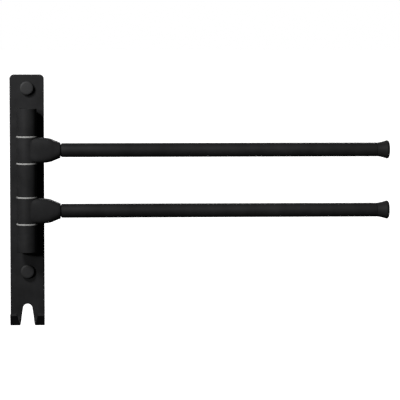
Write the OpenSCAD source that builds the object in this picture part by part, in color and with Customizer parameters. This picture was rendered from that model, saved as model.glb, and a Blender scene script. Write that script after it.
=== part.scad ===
// Wall-mounted towel rack with two swing arms on one hinge barrel, and two robe hooks bent from the foot of its plate.
// Frame: +X along the arms at rest, -Y towards the room, +Z up.
// Origin on the wall face, on the plate's centreline, midway between the two wall screws.

/* [Plate] */
// Plate width
plate_w = 30.6; // [28:0.2:34]
// Plate thickness
plate_t = 3; // [2.5:0.5:3.5]
// Height of the plate's top edge above the origin
plate_top = 94; // [92:1:110]
// Radius of the plate's top corners
corner_r = 3.8; // [2:0.2:6]
// Chamfer along the plate's front edges
edge_c = 0.8; // [0.4:0.1:1]

/* [Hooks] */
// Height of the hooks' bend centre
bend_z = -122; // [-130:1:-120]
// Inner radius of the bend
bend_r = 5; // [4:0.25:6]
// Length of the straight lip
lip_len = 11; // [8:0.5:12]
// Lean of the lip away from the wall
lip_lean = 45; // [30:1:50]
// Height of the notch's round top
notch_z = -115.6; // [-117:0.2:-112]
// Half width of the notch at its round top
notch_r = 4.25; // [3:0.25:5]
// Half width of the notch at the bottom of the bend
notch_low = 6.5; // [5:0.25:7]
// Half gap between the tops of the two lips
notch_lip = 9.2; // [8:0.2:10]

/* [Hinge barrel] */
// Outer radius of the barrel
barrel_r = 9; // [8.5:0.25:9.25]
// Distance of the barrel's axis from the wall
axis_off = 13; // [13:0.25:15]
// Half the barrel's height
barrel_half = 64; // [62:1:68]
// Height of each swinging hub
hub_h = 22.5; // [22:0.5:24]
// Height of each hub's centre above and below the origin
hub_z = 27; // [26:0.5:30]
// Gap for each bush's flange
flange_gap = 1.5; // [1.2:0.1:2]
// Radius of the hinge shaft
shaft_r = 4; // [3.5:0.25:4.5]

/* [Arms] */
// Radius of each rod
rod_r = 6.25; // [5:0.25:6.5]
// Distance from the barrel's axis to the rod's seam with the hub
seam_x = 30.1; // [28:0.1:31]
// Distance from the barrel's axis to the rod's far end
rod_end = 312.6; // [240:0.2:420]
// Radius of the flared end cap
cap_r = 8.2; // [7:0.2:9]

/* [Wall fixings] */
// Height of each wall screw above and below the origin
screw_z = 82; // [80:1:86]
// Length of each wall screw behind the plate
screw_len = 27; // [20:1:40]
// Radius of each snap-on screw cap
cover_r = 6; // [5.5:0.25:6.5]

/* [Hidden] */
$fn = 64;
outer_r = bend_r + plate_t;
bend_y = -outer_r;
bore_r = shaft_r + 0.05;      // knuckle bores and bush bores
bush_r = shaft_r + 1.5;       // outside of each bush
hub_bore = bush_r + 0.02;
flange_t = flange_gap - 0.14;
hub_lo = hub_z - hub_h / 2;
hub_hi = hub_z + hub_h / 2;
knuckle_in = hub_lo - flange_gap;
knuckle_out = hub_hi + flange_gap;
seat_z = barrel_half - 6.5;   // seats of the shaft's end screws
shaft_end = seat_z - 0.5;
face_y = -plate_t;
web_w = 12;
boss_flat = 8.6;              // half depth of a hub's boss
taper_from = 12;              // the boss starts to taper here, along an arc
taper_r = 40;
boss_end = seam_x - 0.6;
boss_steps = 8;
flange_r = barrel_r + 0.25;
bush_len = 9;
rod_wall = 1;
stud_r = rod_r - rod_wall - 0.03;
stud_x = seam_x - 12;         // bottom of the hub's blind hole
stud_len = 34;
flare_len = 8.4;
dome_len = 2;
black = [0.05, 0.05, 0.055];
steel = [0.7, 0.7, 0.72];
nylon = [0.92, 0.92, 0.9];

// Turns a part drawn along +Z so that it runs along +X from the barrel's axis at height z.
module along_arm(z) translate([0, -axis_off, z]) rotate([0, 90, 0]) children();
// Turns a part drawn along +Z so that it runs out of the wall (-Y) at height z.
module out_of_wall(z) translate([0, 0, z]) rotate([90, 0, 0]) children();
module on_axis(z) translate([0, -axis_off, z]) children();

// The plate's front layer: full depth in the middle, sloped edges left, right and top.
module plate_slab() {
    w = plate_w / 2;
    side_top = plate_top - corner_r;
    difference() {
        union() {
            // sides and middle
            translate([0, 0, bend_z]) linear_extrude(side_top - bend_z)
                polygon([[-w, 0], [w, 0], [w, -plate_t + edge_c], [w - edge_c, -plate_t], [-w + edge_c, -plate_t], [-w, -plate_t + edge_c]]);
            // top edge between the corners
            translate([-w + corner_r, 0, side_top]) rotate([90, 0, 90]) linear_extrude(plate_w - 2 * corner_r)
                polygon([[0, -1], [0, corner_r], [-plate_t + edge_c, corner_r], [-plate_t, corner_r - edge_c], [-plate_t, -1]]);
            for (s = [-1, 1]) translate([s * (w - corner_r), 0, side_top]) rotate([90, 0, 0]) {
                cylinder(r = corner_r, h = plate_t - edge_c);
                translate([0, 0, plate_t - edge_c]) cylinder(r1 = corner_r, r2 = corner_r - edge_c, h = edge_c);
            }
        }
        for (s = [-1, 1]) out_of_wall(s * screw_z) translate([0, 0, -1]) cylinder(r = 2.6, h = plate_t + 2);
    }
}

// The bend and the lip, as wide as the plate. The lip's root is let into the bend.
module hook_strip() {
    translate([plate_w / 2, bend_y, bend_z]) rotate([0, 180, 0]) rotate([90, 0, 90]) {
        rotate_extrude(angle = 180 - lip_lean) translate([bend_r, 0]) square([plate_t, plate_w]);
        rotate([0, 0, 180 - lip_lean]) translate([bend_r + 0.05, -0.8, 0.03]) cube([plate_t - 0.1, lip_len + 0.8, plate_w - 0.06]);
    }
}

// What the notch takes away, seen from the front, for the plate's side of the bend and for the lips.
module notch_back() {
    h = bend_z - outer_r;
    translate([0, 1, 0]) rotate([90, 0, 0]) linear_extrude(-bend_y + 1) {
        translate([0, notch_z]) circle(r = notch_r);
        polygon([[-notch_r, notch_z], [notch_r, notch_z], [notch_low, h], [notch_low, h - 2], [-notch_low, h - 2], [-notch_low, h]]);
    }
}
module notch_front() {
    h = bend_z - outer_r;
    top = bend_z + 4;
    translate([0, bend_y, 0]) rotate([90, 0, 0]) linear_extrude(20)
        polygon([[-notch_low, h - 2], [notch_low, h - 2], [notch_low, h], [notch_lip, top], [notch_lip, top + 10], [-notch_lip, top + 10], [-notch_lip, top], [-notch_low, h]]);
}

// One fixed knuckle of the barrel with its web to the plate, between two heights.
module knuckle(z0, z1) {
    difference() {
        union() {
            on_axis(z0) cylinder(r = barrel_r, h = z1 - z0);
            translate([-web_w / 2, -axis_off, z0]) cube([web_w, axis_off - plate_t + 0.5, z1 - z0]);
        }
        on_axis(z0 - 1) cylinder(r = bore_r, h = z1 - z0 + 2);
    }
}

module back_plate() color(black) difference() {
    union() {
        plate_slab();
        hook_strip();
        knuckle(-knuckle_in, knuckle_in);
        knuckle(knuckle_out, barrel_half);
        knuckle(-barrel_half, -knuckle_out);
    }
    notch_back();
    notch_front();
    // seats for the shaft's end screws and plugs
    for (s = [-1, 1]) on_axis(s * (seat_z + 5)) cylinder(r = 6.5, h = 10, center = true);
}

module pivot_shaft() color(steel) difference() {
    on_axis(-shaft_end) cylinder(r = shaft_r, h = 2 * shaft_end);
    for (s = [-1, 1]) on_axis(s * (shaft_end - 4.5)) cylinder(r = 1.7, h = 13, center = true);
}

module cross_recess(size, depth) translate([0, 0, -depth]) linear_extrude(depth + 1) union() {
    square([size, size / 4], center = true);
    square([size / 4, size], center = true);
}

// Flanged pan-head screw into the end of the shaft. Its flange clamps on the seat in the end knuckle.
module shaft_screw() color(steel) difference() {
    union() {
        translate([0, 0, -9]) cylinder(r = 1.65, h = 9.5);
        cylinder(r = 5.6, h = 1.1);
        translate([0, 0, 1]) cylinder(r1 = 3.7, r2 = 2.8, h = 1.3);
    }
    translate([0, 0, 2.3]) cross_recess(3.2, 1.2);
}
module shaft_screw_top() on_axis(seat_z + 0.02) shaft_screw();
module shaft_screw_bottom() on_axis(-seat_z - 0.02) rotate([180, 0, 0]) shaft_screw();

// Plastic plug that closes the barrel's end.
module end_plug() color(black) difference() {
    translate([0, 0, -3.4]) cylinder(r = 6.45, h = 2.9);
    translate([0, 0, -4]) cylinder(r = 5.4, h = 2.1);
}
module end_plug_top() on_axis(barrel_half) end_plug();
module end_plug_bottom() on_axis(-barrel_half) rotate([180, 0, 0]) end_plug();

// Wall screw: pan head, plain neck through the plate, thread shank and point behind the plate.
module wall_screw() color(steel) difference() {
    union() {
        cylinder(r = 2.25, h = plate_t + 1.2);
        translate([0, 0, -screw_len + 4]) cylinder(r = 2, h = screw_len - 4);
        translate([0, 0, -screw_len]) cylinder(r1 = 0.3, r2 = 2, h = 4);
        translate([0, 0, plate_t + 1.05]) cylinder(r = 3.9, h = 1);
        translate([0, 0, plate_t + 2.05]) cylinder(r1 = 3.9, r2 = 3, h = 0.9);
    }
    translate([0, 0, plate_t + 2.95]) cross_recess(4, 1.6);
}
module wall_screw_top() out_of_wall(screw_z) wall_screw();
module wall_screw_bottom() out_of_wall(-screw_z) wall_screw();

// Plastic ring under each wall screw's head, which the cap snaps over.
module screw_seat() color(nylon) translate([0, 0, plate_t + 0.02]) difference() {
    cylinder(r = cover_r - 0.85, h = 1);
    translate([0, 0, -1]) cylinder(r = 2.5, h = 3);
}
module screw_seat_top() out_of_wall(screw_z) screw_seat();
module screw_seat_bottom() out_of_wall(-screw_z) screw_seat();

// Snap-on cap with a slightly crowned face.
module screw_cap() color(black) translate([0, 0, plate_t + 0.05]) difference() {
    union() {
        cylinder(r = cover_r, h = 3.3);
        translate([0, 0, 3.3]) cylinder(r1 = cover_r, r2 = cover_r - 0.5, h = 0.4);
        translate([0, 0, 3.7]) cylinder(r1 = cover_r - 0.5, r2 = 1.5, h = 0.25);
    }
    translate([0, 0, -1]) cylinder(r = cover_r - 0.8, h = 4.1);
}
module screw_cap_top() out_of_wall(screw_z) screw_cap();
module screw_cap_bottom() out_of_wall(-screw_z) screw_cap();

// Hub of one arm: a drum on the barrel's axis and a flattened boss that tapers to the rod.
function boss_r(x) = hub_h / 2 - 0.15 - taper_r + sqrt(taper_r * taper_r - pow(max(0, x - taper_from), 2));
module hub(z) color(black) difference() {
    union() {
        on_axis(z - hub_h / 2) cylinder(r = barrel_r, h = hub_h);
        intersection() {
            along_arm(z) rotate_extrude() polygon(concat([[0, 0], [boss_r(0), 0]],
                [for (i = [0 : boss_steps]) let (x = taper_from + (boss_end - taper_from) * i / boss_steps) [boss_r(x), x]],
                [[boss_r(boss_end) - 0.4, seam_x], [0, seam_x]]));
            translate([0, -axis_off, z]) cube([4 * seam_x, 2 * boss_flat, 2 * hub_h], center = true);
        }
    }
    on_axis(z - hub_h) cylinder(r = hub_bore, h = 2 * hub_h);
    along_arm(z) translate([0, 0, stud_x]) cylinder(r = stud_r + 0.03, h = seam_x);
}
module hub_upper() hub(hub_z);
module hub_lower() hub(-hub_z);

// Flanged nylon bush. Its flange is the pale line between hub and knuckle.
module bush() color(nylon) difference() {
    union() {
        translate([0, 0, -bush_len]) cylinder(r = bush_r, h = bush_len + 0.5);
        translate([0, 0, 0.02]) cylinder(r = flange_r, h = flange_t);
    }
    translate([0, 0, -2 * bush_len]) cylinder(r = bore_r, h = 4 * bush_len);
}
module bush_upper_top() on_axis(hub_z + hub_h / 2) bush();
module bush_upper_bottom() on_axis(hub_z - hub_h / 2) rotate([180, 0, 0]) bush();
module bush_lower_top() on_axis(-hub_z + hub_h / 2) bush();
module bush_lower_bottom() on_axis(-hub_z - hub_h / 2) rotate([180, 0, 0]) bush();

// Tube that the towel hangs on.
module rod(z) color(black) along_arm(z) difference() {
    translate([0, 0, seam_x + 0.05]) cylinder(r = rod_r, h = rod_end - seam_x - 0.05);
    translate([0, 0, seam_x - 1]) cylinder(r = rod_r - rod_wall, h = rod_end);
}
module rod_upper() rod(hub_z);
module rod_lower() rod(-hub_z);

// Solid stud pressed into the hub and the rod.
module rod_stud(z) color(steel) along_arm(z) {
    translate([0, 0, stud_x + 0.2]) cylinder(r = stud_r, h = stud_len);
    translate([0, 0, stud_x + 0.2 + stud_len]) cylinder(r1 = stud_r, r2 = stud_r - 1, h = 1);
}
module rod_stud_upper() rod_stud(hub_z);
module rod_stud_lower() rod_stud(-hub_z);

// Flared end cap that keeps the towel from sliding off, with a spigot in the rod.
module end_cap(z) color(black) along_arm(z) rotate_extrude() polygon(concat(
    [[0, rod_end - 12], [stud_r - 0.6, rod_end - 12], [stud_r, rod_end - 11], [stud_r, rod_end + 0.05], [rod_r, rod_end + 0.05]],
    [for (i = [1 : 8]) let (t = i / 8) [rod_r + (cap_r - rod_r) * pow(t, 1.3), rod_end + 0.3 + flare_len * t]],
    [for (i = [0 : 6]) let (a = 90 * i / 6) [cap_r * pow(cos(a), 0.35), rod_end + 0.3 + flare_len + 0.6 + dome_len * sin(a)]]));
module end_cap_upper() end_cap(hub_z);
module end_cap_lower() end_cap(-hub_z);

back_plate();
pivot_shaft();
shaft_screw_top();
shaft_screw_bottom();
end_plug_top();
end_plug_bottom();
wall_screw_top();
wall_screw_bottom();
screw_seat_top();
screw_seat_bottom();
screw_cap_top();
screw_cap_bottom();
hub_upper();
bush_upper_top();
bush_upper_bottom();
rod_upper();
rod_stud_upper();
end_cap_upper();
hub_lower();
bush_lower_top();
bush_lower_bottom();
rod_lower();
rod_stud_lower();
end_cap_lower();
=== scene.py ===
import math

import bmesh
import bpy
from mathutils import Matrix, Vector, noise


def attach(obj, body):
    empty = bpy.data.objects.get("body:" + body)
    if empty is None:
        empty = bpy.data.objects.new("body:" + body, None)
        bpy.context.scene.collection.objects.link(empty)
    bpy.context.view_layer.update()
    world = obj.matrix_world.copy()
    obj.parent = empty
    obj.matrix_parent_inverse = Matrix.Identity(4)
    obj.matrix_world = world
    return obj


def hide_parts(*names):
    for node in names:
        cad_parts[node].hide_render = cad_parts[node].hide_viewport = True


# Looks of the towel rack: finely rounded meshes over the CAD frame, procedural finishes, floor, lights and camera.
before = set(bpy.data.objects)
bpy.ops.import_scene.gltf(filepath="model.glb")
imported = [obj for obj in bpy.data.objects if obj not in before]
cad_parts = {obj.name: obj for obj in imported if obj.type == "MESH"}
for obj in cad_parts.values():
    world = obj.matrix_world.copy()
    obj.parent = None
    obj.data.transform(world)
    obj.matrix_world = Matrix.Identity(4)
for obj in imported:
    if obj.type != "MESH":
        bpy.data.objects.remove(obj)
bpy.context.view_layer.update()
scene = bpy.context.scene
MM = 0.001

# ---------------------------------------------------------------- sizes, in millimetres, as in the CAD
W, T = 15.3, 3.0                       # half width and thickness of the plate
TOP, BEND_Z, R_IN = 94.0, -122.0, 5.0
R_OUT, R_MID = R_IN + T, R_IN + T / 2
LEAN = math.radians(45)
SWEEP = math.pi - LEAN
BEND_LEN = R_MID * SWEEP
LIP = 11.0
AXIS_Y = -13.0
BARREL_R, BORE_R, SEAT_R = 9.0, 4.05, 6.5
HUB_Z, HUB_H, GAP = 27.0, 22.5, 1.5
KNUCKLE_IN = HUB_Z - HUB_H / 2 - GAP
KNUCKLE_OUT = HUB_Z + HUB_H / 2 + GAP
BARREL_HALF, SEAT_Z = 64.0, 57.5
SEAM_X, ROD_END, ROD_R, CAP_R = 30.1, 312.6, 6.25, 8.2
SCREW_Z = 82.0


# ---------------------------------------------------------------- mesh helpers
def arc(cx, cy, r, a0, a1, n):
    return [(cx + r * math.cos(math.radians(a0 + (a1 - a0) * i / n)), cy + r * math.sin(math.radians(a0 + (a1 - a0) * i / n))) for i in range(n + 1)]


def rounded(corners, n=4):
    """Polyline with each corner (x, y, radius) rounded."""
    out = []
    count = len(corners)
    for i, (x, y, r) in enumerate(corners):
        if r <= 0 or i in (0, count - 1):
            out.append((x, y))
            continue
        a, p, b = Vector(corners[i - 1][:2]), Vector((x, y)), Vector(corners[i + 1][:2])
        u, v = (a - p), (b - p)
        lu, lv = u.length, v.length
        u, v = u.normalized(), v.normalized()
        half = u.angle(v) / 2
        if half > math.radians(88):
            out.append((x, y))
            continue
        cut = min(r / math.tan(half), 0.48 * lu, 0.48 * lv)
        rad = cut * math.tan(half)
        centre = p + (u + v).normalized() * (rad / math.sin(half))
        s, e = p + u * cut - centre, p + v * cut - centre
        turn = s.angle_signed(e)
        for k in range(n + 1):
            q = s.copy()
            q.rotate(Matrix.Rotation(-turn * k / n, 2))
            out.append(tuple(centre + q))
    return out


def finish_mesh(bm, name, angle=32, merge=1e-7):
    bmesh.ops.remove_doubles(bm, verts=bm.verts, dist=merge)
    bmesh.ops.recalc_face_normals(bm, faces=bm.faces)
    for f in bm.faces:
        f.smooth = True
    me = bpy.data.meshes.new(name)
    bm.to_mesh(me)
    bm.free()
    me.set_sharp_from_angle(angle=math.radians(angle))
    ob = bpy.data.objects.new(name, me)
    scene.collection.objects.link(ob)
    return ob


def frame_of(origin, axis, up=(0, 0, 1)):
    """Matrix that takes local +Z to axis and the local origin to origin (both in mm)."""
    z = Vector(axis).normalized()
    x = Vector(up).cross(z)
    if x.length < 1e-6:
        x = Vector((1, 0, 0))
    x.normalize()
    y = z.cross(x)
    m = Matrix(((x.x, y.x, z.x, origin[0]), (x.y, y.y, z.y, origin[1]), (x.z, y.z, z.z, origin[2]), (0, 0, 0, 1)))
    return Matrix.Scale(MM, 4) @ m


def lathe_bm(profile, m, seg=96, bm=None):
    """Surface of revolution of (radius, height) points about local Z. The profile's ends lie on the axis or the profile is a loop."""
    bm = bm or bmesh.new()
    rings = []
    for r, h in profile:
        if abs(r) < 1e-6:
            rings.append([bm.verts.new(m @ Vector((0, 0, h)))])
        else:
            rings.append([bm.verts.new(m @ Vector((r * math.cos(2 * math.pi * k / seg), r * math.sin(2 * math.pi * k / seg), h))) for k in range(seg)])
    loop = len(rings[0]) > 1 and len(rings[-1]) > 1
    pairs = list(zip(rings, rings[1:])) + ([(rings[-1], rings[0])] if loop else [])
    for a, b in pairs:
        for k in range(seg):
            j = (k + 1) % seg
            if len(a) == 1 and len(b) == 1:
                continue
            if len(a) == 1:
                bm.faces.new((a[0], b[k], b[j]))
            elif len(b) == 1:
                bm.faces.new((a[k], b[0], a[j]))
            else:
                bm.faces.new((a[k], b[k], b[j], a[j]))
    return bm


def lathe(name, profile, m, seg=96, angle=32):
    return finish_mesh(lathe_bm(profile, m, seg), name, angle)


def rings_solid(bm, rings):
    """Closed skin through rings of points, all with the same count, the last joined to the first."""
    vs = [[bm.verts.new(p) for p in ring] for ring in rings]
    n = len(vs[0])
    for a, b in zip(vs, vs[1:] + vs[:1]):
        for k in range(n):
            j = (k + 1) % n
            bm.faces.new((a[k], b[k], b[j], a[j]))
    return bm


def boolean(ob, other, op):
    """Joins or cuts with another closed mesh, and keeps the result as plain mesh."""
    mod = ob.modifiers.new("b", "BOOLEAN")
    mod.operation, mod.solver, mod.object = op, "EXACT", other
    bpy.context.view_layer.update()
    done = bpy.data.meshes.new_from_object(ob.evaluated_get(bpy.context.evaluated_depsgraph_get()))
    ob.modifiers.clear()
    ob.data = done
    bpy.data.objects.remove(other)
    return ob


def smooth(ob, angle=32):
    """Smooth shading that leaves the large flat faces flat: corner normals weighted by face area, kept as plain mesh data."""
    bm = bmesh.new()
    bm.from_mesh(ob.data)
    bmesh.ops.holes_fill(bm, edges=[e for e in bm.edges if e.is_boundary], sides=4)
    bmesh.ops.dissolve_degenerate(bm, dist=2e-6, edges=bm.edges[:])
    bm.to_mesh(ob.data)
    bm.free()
    for p in ob.data.polygons:
        p.use_smooth = True
    ob.data.set_sharp_from_angle(angle=math.radians(angle))
    mod = ob.modifiers.new("w", "WEIGHTED_NORMAL")
    mod.mode, mod.weight, mod.keep_sharp = "FACE_AREA", 50, True
    bpy.context.view_layer.update()
    done = bpy.data.meshes.new_from_object(ob.evaluated_get(bpy.context.evaluated_depsgraph_get()))
    ob.modifiers.clear()
    ob.data = done
    return ob


def threaded(name_bm, m, core, crest, pitch, z0, z1, seg=40, rows=10, point=0.0):
    """Threaded shank about local Z from z0 up to z1, the crest fading at both ends, with an optional point of that length at z0."""
    bm = name_bm
    n = int(round((z1 - z0) / pitch * rows))
    rings = [[bm.verts.new(m @ Vector((0, 0, z0)))]]
    for i in range(n + 1):
        h = z0 + (z1 - z0) * i / n
        ring = []
        for k in range(seg):
            a = 2 * math.pi * k / seg
            f = (h / pitch - k / seg) % 1.0
            ridge = max(0.0, 1 - abs(f - 0.5) / 0.26)
            fade = min(1.0, (z1 - h) / pitch, (h - z0) / pitch if not point else 1.0)
            r = core + (crest - core) * ridge * max(0.0, fade)
            if point and h - z0 < point:
                r *= 0.08 + 0.92 * ((h - z0) / point) ** 0.8
            ring.append(bm.verts.new(m @ Vector((r * math.cos(a), r * math.sin(a), h))))
        rings.append(ring)
    rings.append([bm.verts.new(m @ Vector((0, 0, z1)))])
    for a, b in zip(rings, rings[1:]):
        for k in range(seg):
            j = (k + 1) % seg
            if len(a) == 1:
                bm.faces.new((a[0], b[j], b[k]))
            elif len(b) == 1:
                bm.faces.new((a[k], a[j], b[0]))
            else:
                bm.faces.new((a[k], a[j], b[j], b[k]))
    return bm


def cross_cutter(m, size, top, depth):
    """Tapered cross that a driver fits, about local Z, from top down: one closed prism with twelve sides."""
    bm = bmesh.new()
    a, w = size / 2, size / 8
    up = [(a, -w), (a, w), (w, w), (w, a), (-w, a), (-w, w), (-a, w), (-a, -w), (-w, -w), (-w, -a), (w, -a), (w, -w)]
    lo = [(math.copysign(a * 0.55 if abs(x) == a else w * 0.7, x), math.copysign(a * 0.55 if abs(y) == a else w * 0.7, y)) for x, y in up]
    vs = [bm.verts.new(m @ Vector((x, y, top + 0.5))) for x, y in up] + [bm.verts.new(m @ Vector((x, y, top - depth))) for x, y in lo]
    bm.faces.new(vs[:12]); bm.faces.new(vs[12:][::-1])
    for k in range(12):
        j = (k + 1) % 12
        bm.faces.new((vs[k], vs[k + 12], vs[j + 12], vs[j]))
    bmesh.ops.recalc_face_normals(bm, faces=bm.faces)
    me = bpy.data.meshes.new("cutter")
    bm.to_mesh(me); bm.free()
    ob = bpy.data.objects.new("cutter", me)
    scene.collection.objects.link(ob)
    return ob


# ---------------------------------------------------------------- finishes
def new_material(name):
    mat = bpy.data.materials.new(name)
    mat.use_nodes = True
    nt = mat.node_tree
    nt.nodes.clear()
    out = nt.nodes.new("ShaderNodeOutputMaterial")
    bsdf = nt.nodes.new("ShaderNodeBsdfPrincipled")
    nt.links.new(bsdf.outputs["BSDF"], out.inputs["Surface"])
    coord = nt.nodes.new("ShaderNodeTexCoord")
    return mat, nt, bsdf, coord


def noise_node(nt, coord, scale, detail=3.0, rough=0.55, stretch=None):
    src = coord.outputs["Object"]
    if stretch:
        mp = nt.nodes.new("ShaderNodeMapping")
        mp.inputs["Scale"].default_value = stretch
        nt.links.new(src, mp.inputs["Vector"])
        src = mp.outputs["Vector"]
    n = nt.nodes.new("ShaderNodeTexNoise")
    n.inputs["Scale"].default_value = scale
    n.inputs["Detail"].default_value = detail
    n.inputs["Roughness"].default_value = rough
    nt.links.new(src, n.inputs["Vector"])
    return n


def ramp(nt, src, stops):
    r = nt.nodes.new("ShaderNodeValToRGB")
    els = r.color_ramp.elements
    while len(els) < len(stops):
        els.new(0.5)
    for e, (p, c) in zip(els, stops):
        e.position = p
        e.color = (*c, 1) if len(c) == 3 else c
    nt.links.new(src, r.inputs["Fac"])
    return r


def ranged(nt, src, lo, hi):
    m = nt.nodes.new("ShaderNodeMapRange")
    m.inputs["To Min"].default_value = lo
    m.inputs["To Max"].default_value = hi
    nt.links.new(src, m.inputs["Value"])
    return m


def bump(nt, bsdf, sources):
    """Bump from several (socket, strength, distance in metres) layers."""
    last = None
    for src, strength, dist in sources:
        b = nt.nodes.new("ShaderNodeBump")
        b.inputs["Strength"].default_value = strength
        b.inputs["Distance"].default_value = dist
        nt.links.new(src, b.inputs["Height"])
        if last:
            nt.links.new(last.outputs["Normal"], b.inputs["Normal"])
        last = b
    nt.links.new(last.outputs["Normal"], bsdf.inputs["Normal"])


def coat_material(name, base, rough, ior=1.45, grain=2600.0, grain_depth=2.0e-5, mottle=0.25, spec=0.2):
    """Satin black coat: a faint mottle, cloudy gloss and a fine grain."""
    mat, nt, bsdf, coord = new_material(name)
    cloud = noise_node(nt, coord, 60.0, 4.0)
    c = ramp(nt, cloud.outputs["Fac"], [(0.3, [v * (1 - mottle) for v in base]), (0.7, [v * (1 + mottle) for v in base])])
    nt.links.new(c.outputs["Color"], bsdf.inputs["Base Color"])
    gloss = noise_node(nt, coord, 220.0, 5.0, 0.6)
    r = ranged(nt, gloss.outputs["Fac"], rough - 0.05, rough + 0.07)
    nt.links.new(r.outputs["Result"], bsdf.inputs["Roughness"])
    bsdf.inputs["IOR"].default_value = ior
    bsdf.inputs["Specular IOR Level"].default_value = spec
    fine = noise_node(nt, coord, grain, 2.0)
    peel = noise_node(nt, coord, 420.0, 1.0)
    bump(nt, bsdf, [(peel.outputs["Fac"], 0.35, 3.0e-5), (fine.outputs["Fac"], 0.6, grain_depth)])
    return mat


def nylon_material():
    mat, nt, bsdf, coord = new_material("look_white_nylon")
    cloud = noise_node(nt, coord, 180.0, 3.0)
    c = ramp(nt, cloud.outputs["Fac"], [(0.3, (0.50, 0.50, 0.485)), (0.7, (0.58, 0.58, 0.565))])
    nt.links.new(c.outputs["Color"], bsdf.inputs["Base Color"])
    r = ranged(nt, noise_node(nt, coord, 700.0, 2.0).outputs["Fac"], 0.42, 0.56)
    nt.links.new(r.outputs["Result"], bsdf.inputs["Roughness"])
    bsdf.inputs["IOR"].default_value = 1.5
    bump(nt, bsdf, [(noise_node(nt, coord, 1500.0, 2.0).outputs["Fac"], 0.3, 1.5e-5)])
    return mat


def steel_material(name, axis_stretch):
    """Zinc-plated steel: turned or drawn lines along one direction and a cloudy plating."""
    mat, nt, bsdf, coord = new_material(name)
    lines = noise_node(nt, coord, 900.0, 3.0, 0.6, axis_stretch)
    cloud = noise_node(nt, coord, 90.0, 4.0)
    c = ramp(nt, cloud.outputs["Fac"], [(0.25, (0.46, 0.47, 0.49)), (0.55, (0.60, 0.61, 0.62)), (0.8, (0.70, 0.69, 0.66))])
    nt.links.new(c.outputs["Color"], bsdf.inputs["Base Color"])
    bsdf.inputs["Metallic"].default_value = 1.0
    r = ranged(nt, lines.outputs["Fac"], 0.34, 0.52)
    nt.links.new(r.outputs["Result"], bsdf.inputs["Roughness"])
    bump(nt, bsdf, [(lines.outputs["Fac"], 0.35, 1.2e-5)])
    return mat


COAT = coat_material("look_black_coat", (0.029, 0.029, 0.030), 0.55, spec=0.12)
# Painted shade: the rods wear the same black coat as the plate, and this copy gets a darker base colour only so that
# the rods come out as dark as they look under these lamps; the added gloss is real shader gloss.
ROD_COAT_SHADED_COPY = coat_material("look_black_coat_rods_shaded_copy", (0.019, 0.019, 0.0197), 0.56, spec=0.22)
CAP_PLASTIC = coat_material("look_black_plastic_caps", (0.042, 0.042, 0.043), 0.5, 1.5, 3200.0, 2.5e-5, 0.2, 0.25)
END_PLASTIC = coat_material("look_black_plastic_ends", (0.022, 0.022, 0.0228), 0.55, 1.5, 2200.0, 2.0e-5, spec=0.1)
NYLON = nylon_material()
STEEL_Z = steel_material("look_zinc_steel_upright", (1.0, 1.0, 0.06))
STEEL_X = steel_material("look_zinc_steel_lengthwise", (0.06, 1.0, 1.0))
STEEL_Y = steel_material("look_zinc_steel_screw", (1.0, 0.06, 1.0))


def settle(ob, node, body, mat):
    ob.data.materials.clear()
    ob.data.materials.append(mat)
    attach(ob, body)
    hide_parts(node)
    return ob


# ---------------------------------------------------------------- back plate: strip, bend, lips, notch, barrel knuckles
def strip_point(x, v, d):
    """Bends the flat strip: v runs down from the start of the bend, d is the depth from the strip's back."""
    if v <= 0:
        return Vector((x, -d, BEND_Z - v)) * MM
    rho = R_OUT - d
    th = min(v / R_MID, SWEEP)
    y, z = -R_OUT + rho * math.cos(th), BEND_Z - rho * math.sin(th)
    over = max(0.0, v - BEND_LEN)
    return Vector((x, y - over * math.sin(th), z - over * math.cos(th))) * MM


def half_gap(v):
    """Half width of the notch along the strip."""
    pts = [(-6.4, 4.25), (0.0, 5.2), (R_MID * math.pi / 2, 6.5), (BEND_LEN + LIP, 9.15)]
    for (v0, w0), (v1, w1) in zip(pts, pts[1:]):
        if v <= v1:
            return w0 + (w1 - w0) * (v - v0) / (v1 - v0)
    return pts[-1][1]


def strip_outline():
    top, end = -(TOP - BEND_Z), BEND_LEN + LIP
    c = 3.8
    right = arc(W - c, top + c, c, -90, 0, 10)                       # top right corner, v grows downwards
    lip = rounded([(W, end - 4, 0), (W, end, 0.9), (half_gap(end), end, 0.9), (half_gap(end - 4), end - 4, 0)], 5)
    inner = []
    v = end - 5
    while v > -5.9:
        inner.append((half_gap(v), v))
        v -= 1.0
    notch = arc(0, -6.4, 4.25, 8, -188, 22)
    half = right + lip + inner
    left = [(-x, v) for x, v in reversed(half)]
    return half + notch + left


def plate_mesh():
    bm = bmesh.new()
    pts = strip_outline()
    back = [bm.verts.new((x, v, 0)) for x, v in pts]
    front = [bm.verts.new((x, v, T)) for x, v in pts]
    bm.faces.new(back[::-1])
    bm.faces.new(front)
    n = len(pts)
    for k in range(n):
        j = (k + 1) % n
        bm.faces.new((back[k], back[j], front[j], front[k]))
    bmesh.ops.recalc_face_normals(bm, faces=bm.faces)
    rim = [e for e in bm.edges if all(abs(v.co.z - T) < 1e-6 for v in e.verts)]
    bmesh.ops.bevel(bm, geom=rim, offset=1.15, segments=6, profile=0.5, affect="EDGES", clamp_overlap=False)
    rim = [e for e in bm.edges if all(abs(v.co.z) < 1e-6 for v in e.verts)]
    bmesh.ops.bevel(bm, geom=rim, offset=0.55, segments=4, profile=0.5, affect="EDGES", clamp_overlap=False)
    cuts = [0.0] + [BEND_LEN * i / 30 for i in range(1, 31)]
    for v in cuts:
        bmesh.ops.bisect_plane(bm, geom=bm.verts[:] + bm.edges[:] + bm.faces[:], dist=1e-5, plane_co=(0, v, 0), plane_no=(0, 1, 0))
    for vert in bm.verts:
        vert.co = strip_point(*vert.co)
    return finish_mesh(bm, "back_plate_look", 30, 1e-8)


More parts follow.
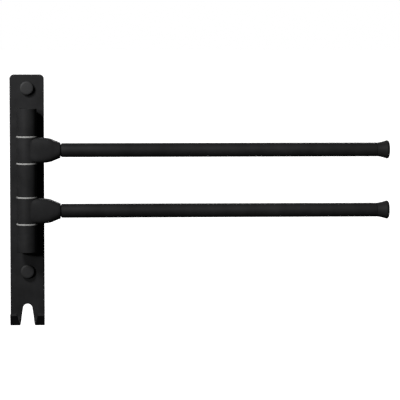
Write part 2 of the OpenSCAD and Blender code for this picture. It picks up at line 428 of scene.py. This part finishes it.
def knuckle_mesh(z0, z1, seat=0):
    """One length of the barrel, a ring with rounded ends. seat is +1 or -1 where a screw seat is sunk in that end."""
    e = 0.5
    top, low = (SEAT_R if seat > 0 else BORE_R), (SEAT_R if seat < 0 else BORE_R)
    quarter = [math.radians(90 * k / 5) for k in range(6)]
    prof = [(BARREL_R - e + e * math.sin(t), z0 + e - e * math.cos(t)) for t in quarter]
    prof += [(BARREL_R - e + e * math.cos(t), z1 - e + e * math.sin(t)) for t in quarter]
    prof += [(top + 0.35, z1), (top, z1 - 0.35)]
    if seat > 0:
        prof += [(top, SEAT_Z), (BORE_R, SEAT_Z)]
    if seat < 0:
        prof += [(BORE_R, -SEAT_Z), (low, -SEAT_Z)]
    prof += [(low, z0 + 0.35), (low + 0.35, z0)]
    return lathe("knuckle", prof, frame_of((0, AXIS_Y, 0), (0, 0, 1), (0, 1, 0)), 160)


def web_mesh(z0, z1):
    """Web between a knuckle and the plate, flared at its foot, with eased ends."""
    web, foot = 6.0, 7.4
    half = [(4.0, 7.5), (5.9, 6.3), (web, 8.2)] + arc(foot, 8.6, 1.4, 180, 90, 6)[0:] + [(foot + 0.05, 10.6)]
    pts = half + [(-x, y) for x, y in reversed(half)]
    bm = bmesh.new()
    lo = [bm.verts.new(Vector((x, AXIS_Y + y, z0 + 0.4)) * MM) for x, y in pts]
    hi = [bm.verts.new(Vector((x, AXIS_Y + y, z1 - 0.4)) * MM) for x, y in pts]
    bm.faces.new(lo[::-1])
    bm.faces.new(hi)
    for k in range(len(pts)):
        j = (k + 1) % len(pts)
        bm.faces.new((lo[k], lo[j], hi[j], hi[k]))
    bmesh.ops.recalc_face_normals(bm, faces=bm.faces)
    ends = [e for e in bm.edges if abs(e.verts[0].co.z - e.verts[1].co.z) < 1e-9]
    bmesh.ops.bevel(bm, geom=ends, offset=0.25 * MM, segments=3, profile=0.5, affect="EDGES", clamp_overlap=True)
    return finish_mesh(bm, "web", 30, 1e-8)


plate = plate_mesh()
for args in ((-KNUCKLE_IN, KNUCKLE_IN, 0), (KNUCKLE_OUT, BARREL_HALF, 1), (-BARREL_HALF, -KNUCKLE_OUT, -1)):
    boolean(plate, web_mesh(*args[:2]), "UNION")
    boolean(plate, knuckle_mesh(*args), "UNION")
for s in (-1, 1):
    m = frame_of((0, 1.5, s * SCREW_Z), (0, -1, 0))
    cutter = lathe("cutter", [(0, 0), (3.1, 0), (3.1, 1.0), (2.6, 1.5), (2.6, 8), (0, 8)], m, 48)
    boolean(plate, cutter, "DIFFERENCE")
smooth(plate, 30)
settle(plate, "back_plate", "bracket", COAT)


# ---------------------------------------------------------------- hubs, bushes, rods, end caps
def section(x, hy, hz, n, seg=72):
    pts = []
    for k in range(seg):
        a = 2 * math.pi * k / seg
        c, s = math.cos(a), math.sin(a)
        pts.append((x, hy * math.copysign(abs(c) ** (2 / n), c), hz * math.copysign(abs(s) ** (2 / n), s)))
    return pts


BOSS = [(2.0, 8.42, 11.12, 4.4), (5.0, 8.44, 11.12, 4.4), (8.0, 8.46, 11.12, 4.4), (10.0, 8.48, 11.12, 4.3), (12.0, 8.5, 11.1, 4.2), (14.5, 8.45, 11.08, 3.9), (16.5, 8.4, 11.0, 3.6), (18.0, 8.35, 10.87, 3.3), (19.5, 8.3, 10.66, 3.1),
        (21.0, 8.25, 10.33, 2.9), (22.5, 8.15, 9.9, 2.7), (24.0, 8.0, 9.2, 2.5), (25.5, 7.86, 8.62, 2.38), (27.0, 7.68, 8.02, 2.24), (28.2, 7.45, 7.55, 2.14), (29.1, 7.2, 7.22, 2.06), (29.6, 7.0, 7.02, 2.02), (29.8, 6.82, 6.83, 2.0), (29.9, 6.55, 6.55, 2.0)]


def hub_mesh(name, z):
    e = 0.45
    prof = [(5.52, -HUB_H / 2 + 0.3), (5.82, -HUB_H / 2)] + [(BARREL_R - e + e * math.sin(t), -HUB_H / 2 + e - e * math.cos(t)) for t in [math.radians(q) for q in (0, 22, 45, 68, 90)]]
    prof += [(BARREL_R - e + e * math.cos(t), HUB_H / 2 - e + e * math.sin(t)) for t in [math.radians(q) for q in (0, 22, 45, 68, 90)]] + [(5.82, HUB_H / 2), (5.52, HUB_H / 2 - 0.3)]
    drum = lathe(name, prof, frame_of((0, AXIS_Y, z), (0, 0, 1), (0, 1, 0)), 192)
    bm = bmesh.new()
    rings = []
    for x, hy, hz, n in BOSS:
        rings.append([bm.verts.new(Vector((x, AXIS_Y + y, z + h)) * MM) for _, y, h in section(x, hy, hz, n)])
    for a, b in zip(rings, rings[1:]):
        for k in range(len(a)):
            j = (k + 1) % len(a)
            bm.faces.new((a[k], a[j], b[j], b[k]))
    bm.faces.new(rings[0][::-1])
    bm.faces.new(rings[-1])
    boss = finish_mesh(bm, "boss", 40, 1e-9)
    boolean(drum, boss, "UNION")
    bore = lathe("cutter", [(0, -20), (5.52, -20), (5.52, 20), (0, 20)], frame_of((0, AXIS_Y, z), (0, 0, 1), (0, 1, 0)), 96)
    boolean(drum, bore, "DIFFERENCE")
    hole = lathe("cutter", [(0, 17.2), (5.25, 17.2), (5.25, 40), (0, 40)], frame_of((0, AXIS_Y, z), (1, 0, 0)), 64)
    boolean(drum, hole, "DIFFERENCE")
    return smooth(drum, 34)


def bush_mesh(name, z, up):
    prof = rounded([(BORE_R, -9, 0), (5.5, -9, 0.4), (5.5, 0.02, 0.15), (9.25, 0.02, 0.25), (9.25, 1.38, 0.25), (4.05, 1.38, 0.3), (BORE_R, 0.9, 0)], 4)
    return lathe(name, prof, frame_of((0, AXIS_Y, z), (0, 0, 1 if up else -1), (0, 1, 0)), 96)


def rod_mesh(name, z):
    a, b = SEAM_X + 0.06, ROD_END
    prof = rounded([(5.25, a + 3, 0), (5.25, a, 0.1), (5.62, a, 0.1), (5.62, a + 0.62, 0.1), (ROD_R, a + 0.62, 0.22), (ROD_R, b, 0.3), (5.25, b, 0.15), (5.25, b - 2, 0)], 4)
    return lathe(name, prof, frame_of((0, AXIS_Y, z), (1, 0, 0)), 96)


def end_cap_mesh(name, z):
    prof = [(0, ROD_END - 12), (4.6, ROD_END - 12), (5.22, ROD_END - 11), (5.22, ROD_END + 0.12), (ROD_R - 0.25, ROD_END + 0.12), (ROD_R, ROD_END + 0.35)]
    for i in range(1, 15):
        t = i / 14
        prof.append((ROD_R + (CAP_R - ROD_R) * t ** 1.45, ROD_END + 0.35 + 8.3 * t))
    prof += [(CAP_R + 0.0, ROD_END + 8.9)]
    for i in range(1, 13):
        a = math.radians(90 * i / 12)
        prof.append((CAP_R * math.cos(a) ** 0.42 if i < 12 else 0, ROD_END + 9.0 + 2.3 * math.sin(a)))
    return lathe(name, prof, frame_of((0, AXIS_Y, z), (1, 0, 0)), 96, 40)


def stud_mesh(name, z):
    """Knurled joiner between hub and rod."""
    m = frame_of((0, AXIS_Y, z), (1, 0, 0))
    bm = bmesh.new()
    seg = 96
    spans = [(18.3, 4.6), (18.8, 5.1)] + [(19.3 + 0.5 * i, None) for i in range(20)] + [(29.5, 5.05), (30.5, 5.05)] + [(31.0 + 0.6 * i, None) for i in range(34)] + [(52.1, 5.1), (53.3, 4.4)]
    rings = [[bm.verts.new(m @ Vector((0, 0, 18.3)))]]
    for h, r in spans:
        rings.append([bm.verts.new(m @ Vector(((r or 5.16 + (0.06 if (k // 2) % 2 else -0.1)) * math.cos(2 * math.pi * k / seg), (r or 5.16 + (0.06 if (k // 2) % 2 else -0.1)) * math.sin(2 * math.pi * k / seg), h))) for k in range(seg)])
    rings.append([bm.verts.new(m @ Vector((0, 0, 53.3)))])
    for a, b in zip(rings, rings[1:]):
        for k in range(seg):
            j = (k + 1) % seg
            if len(a) == 1:
                bm.faces.new((a[0], b[j], b[k]))
            elif len(b) == 1:
                bm.faces.new((a[k], a[j], b[0]))
            else:
                bm.faces.new((a[k], a[j], b[j], b[k]))
    return finish_mesh(bm, name, 30)


for word, s in (("upper", 1), ("lower", -1)):
    body, z = word + "_arm", s * HUB_Z
    settle(hub_mesh(f"hub_{word}_look", z), f"hub_{word}", body, COAT)
    settle(bush_mesh(f"bush_{word}_top_look", z + HUB_H / 2, True), f"bush_{word}_top", body, NYLON)
    settle(bush_mesh(f"bush_{word}_bottom_look", z - HUB_H / 2, False), f"bush_{word}_bottom", body, NYLON)
    settle(rod_mesh(f"rod_{word}_look", z), f"rod_{word}", body, ROD_COAT_SHADED_COPY)
    settle(stud_mesh(f"rod_stud_{word}_look", z), f"rod_stud_{word}", body, STEEL_X)
    settle(end_cap_mesh(f"end_cap_{word}_look", z), f"end_cap_{word}", body, END_PLASTIC)


# ---------------------------------------------------------------- shaft and its screws, plugs
shaft = lathe("pivot_shaft_look", rounded([(0, -57, 0), (1.7, -57, 0), (4, -57, 0.6), (4, 57, 0.6), (1.7, 57, 0), (0, 57, 0)], 4), frame_of((0, AXIS_Y, 0), (0, 0, 1), (0, 1, 0)), 96)
for s in (-1, 1):
    hole = lathe("cutter", [(0, 46), (1.2, 46), (1.7, 46.8), (1.7, 56.6), (2.1, 57.1), (2.1, 60), (0, 60)], frame_of((0, AXIS_Y, 0), (0, 0, s), (0, 1, 0)), 48)
    boolean(shaft, hole, "DIFFERENCE")
settle(smooth(shaft), "pivot_shaft", "bracket", STEEL_Z)


def shaft_screw(name, s):
    m = frame_of((0, AXIS_Y, SEAT_Z + 0.02), (0, 0, 1), (0, 1, 0))
    bm = lathe_bm(rounded([(0, -0.7, 0), (1.35, -0.68, 0), (1.68, -0.35, 0), (1.68, 0, 0), (5.6, 0, 0.2), (5.6, 1.1, 0.35), (3.75, 1.15, 0.25), (3.5, 1.9, 0.5), (2.4, 2.28, 0.6), (0, 2.3, 0)], 4), m, 72)
    head = finish_mesh(bm, name, 32)
    boolean(head, cross_cutter(m, 3.3, 2.3, 1.3), "DIFFERENCE")
    shank = bmesh.new()
    threaded(shank, m, 1.34, 1.66, 0.7, -9.0, -0.2, 36, 8)
    boolean(head, finish_mesh(shank, "shank", 32, 1e-9), "UNION")
    if s < 0:
        head.data.transform(Matrix.Translation((0, 2 * AXIS_Y * MM, 0)) @ Matrix.Rotation(math.pi, 4, "X"))
    return smooth(head)


for word, s in (("top", 1), ("bottom", -1)):
    settle(shaft_screw(f"shaft_screw_{word}_look", s), f"shaft_screw_{word}", "bracket", STEEL_Z)
    m = frame_of((0, AXIS_Y, s * BARREL_HALF), (0, 0, s), (0, 1, 0))
    prof = rounded([(0, -1.9, 0), (5.4, -1.9, 0.2), (5.4, -3.4, 0.1), (6.45, -3.4, 0.25), (6.45, -0.5, 0.4), (4.9, -0.5, 0.2), (4.7, -0.72, 0.2), (0, -0.72, 0)], 4)
    settle(lathe(f"end_plug_{word}_look", prof, m, 96), f"end_plug_{word}", "bracket", END_PLASTIC)


# ---------------------------------------------------------------- wall screws, seats and caps
def wall_screw(name, s):
    m = frame_of((0, 0, s * SCREW_Z), (0, -1, 0))
    bm = lathe_bm(rounded([(0, -0.4, 0), (1.6, -0.4, 0), (2.25, 0.1, 0.2), (2.25, 4.06, 0.2), (3.9, 4.06, 0.2), (3.9, 5.0, 0.6), (3.2, 5.75, 0.7), (1.9, 5.95, 0.8), (0, 5.95, 0)], 4), m, 72)
    head = finish_mesh(bm, name, 32)
    boolean(head, cross_cutter(m, 4.1, 5.95, 1.7), "DIFFERENCE")
    shank = bmesh.new()
    threaded(shank, m, 1.55, 2.2, 1.8, -27.0, -0.1, 40, 12, 5.0)
    boolean(head, finish_mesh(shank, "shank", 32, 1e-9), "UNION")
    return smooth(head)


for word, s in (("top", 1), ("bottom", -1)):
    m = frame_of((0, 0, s * SCREW_Z), (0, -1, 0))
    settle(wall_screw(f"wall_screw_{word}_look", s), f"wall_screw_{word}", "bracket", STEEL_Y)
    seat = rounded([(2.5, 3.4, 0), (2.5, 3.02, 0.1), (5.15, 3.02, 0.15), (5.15, 4.02, 0.3), (2.5, 4.02, 0.2), (2.5, 3.6, 0)], 4)
    settle(lathe(f"screw_seat_{word}_look", seat, m, 72), f"screw_seat_{word}", "bracket", NYLON)
    cap = rounded([(0, 6.15, 0), (5.2, 6.15, 0.5), (5.2, 3.05, 0.1), (6.0, 3.05, 0.15), (6.0, 6.55, 0.75), (4.6, 6.86, 1.0), (2.5, 6.98, 1.0), (0, 7.0, 0)], 6)
    settle(lathe(f"screw_cap_{word}_look", cap, m, 96, 40), f"screw_cap_{word}", "bracket", CAP_PLASTIC)


# ---------------------------------------------------------------- floor, lights, world, camera
def flat_floor():
    bm = bmesh.new()
    bmesh.ops.create_grid(bm, x_segments=1, y_segments=1, size=30.0)
    me = bpy.data.meshes.new("floor")
    bm.to_mesh(me); bm.free()
    ob = bpy.data.objects.new("floor", me)
    scene.collection.objects.link(ob)
    ob.location = (0, 0, -0.30)
    mat, nt, bsdf, coord = new_material("pale_floor")
    c = ramp(nt, noise_node(nt, coord, 3.0, 2.0).outputs["Fac"], [(0.3, (0.90, 0.90, 0.90)), (0.7, (0.93, 0.93, 0.93))])
    nt.links.new(c.outputs["Color"], bsdf.inputs["Base Color"])
    bsdf.inputs["Roughness"].default_value = 0.9
    bsdf.inputs["Emission Color"].default_value = (1, 1, 1, 1)
    bsdf.inputs["Emission Strength"].default_value = 0.97
    me.materials.append(mat)
    ob.visible_diffuse = False
    ob.visible_glossy = False
    ob.visible_shadow = False
    return ob


flat_floor()

world = bpy.data.worlds.new("studio")
scene.world = world
world.use_nodes = True
nt = world.node_tree
nt.nodes.clear()
out = nt.nodes.new("ShaderNodeOutputWorld")
mix = nt.nodes.new("ShaderNodeMixShader")
path = nt.nodes.new("ShaderNodeLightPath")
seen = nt.nodes.new("ShaderNodeBackground")
seen.inputs["Color"].default_value = (1, 1, 1, 1)
seen.inputs["Strength"].default_value = 1.0
room = nt.nodes.new("ShaderNodeBackground")
room.inputs["Color"].default_value = (1, 1, 1, 1)
room.inputs["Strength"].default_value = 0.02
nt.links.new(path.outputs["Is Camera Ray"], mix.inputs["Fac"])
nt.links.new(room.outputs["Background"], mix.inputs[1])
nt.links.new(seen.outputs["Background"], mix.inputs[2])
nt.links.new(mix.outputs["Shader"], out.inputs["Surface"])


def aim(ob, direction):
    ob.rotation_mode = "QUATERNION"
    ob.rotation_quaternion = Vector(direction).to_track_quat("-Z", "Y")


def sun(name, left_deg, above_deg, strength, angle_deg):
    l, a = math.radians(left_deg), math.radians(above_deg)
    data = bpy.data.lights.new(name, "SUN")
    data.energy = strength
    data.angle = math.radians(angle_deg)
    ob = bpy.data.objects.new(name, data)
    scene.collection.objects.link(ob)
    aim(ob, (math.sin(l) * math.cos(a), math.cos(l) * math.cos(a), -math.sin(a)))
    return ob


sun("key", 30, 13, 0.68, 6.0)
sun("behind_right", -164, 22, 1.2, 10.0)
sun("behind_left", 155, 30, 0.8, 10.0)


def panel(name, place, at, power, width, height):
    data = bpy.data.lights.new(name, "AREA")
    data.shape = "RECTANGLE"
    data.size, data.size_y = width, height
    data.energy = power
    ob = bpy.data.objects.new(name, data)
    scene.collection.objects.link(ob)
    ob.location = place
    aim(ob, Vector(at) - Vector(place))
    return ob


panel("soft_box", (-0.25, -0.36, 0.36), (0.02, 0.0, -0.01), 1.91, 0.16, 0.10)


def spot(name, place, at, power, cone, soft):
    data = bpy.data.lights.new(name, "SPOT")
    data.energy = power
    data.spot_size = math.radians(cone)
    data.spot_blend = 1.0
    data.shadow_soft_size = soft
    ob = bpy.data.objects.new(name, data)
    scene.collection.objects.link(ob)
    ob.location = place
    aim(ob, Vector(at) - Vector(place))
    return ob


spot("rod_fill", (0.12, -0.60, 0.36), (0.30, -0.013, -0.02), 5.5, 34.0, 0.05)

cam_data = bpy.data.cameras.new("camera")
cam = bpy.data.objects.new("camera", cam_data)
scene.collection.objects.link(cam)
YAW, PITCH, ROLL = math.radians(3.08), math.radians(4.26), math.radians(0.02)
fwd = Vector((math.sin(YAW) * math.cos(PITCH), math.cos(YAW) * math.cos(PITCH), -math.sin(PITCH)))
right = Vector((math.cos(YAW), -math.sin(YAW), 0))
up = right.cross(fwd)
r2 = math.cos(ROLL) * right + math.sin(ROLL) * up
u2 = -math.sin(ROLL) * right + math.cos(ROLL) * up
cam.matrix_world = Matrix(((r2.x, u2.x, -fwd.x, 0.0364), (r2.y, u2.y, -fwd.y, -2.2), (r2.z, u2.z, -fwd.z, 0.1453), (0, 0, 0, 1)))
cam_data.sensor_width = 36.0
cam_data.lens = 2460.8 * 36.0 / 400.0
cam_data.clip_end = 100.0
scene.camera = cam
scene.view_settings.view_transform = "Standard"
scene.view_settings.look = "None"
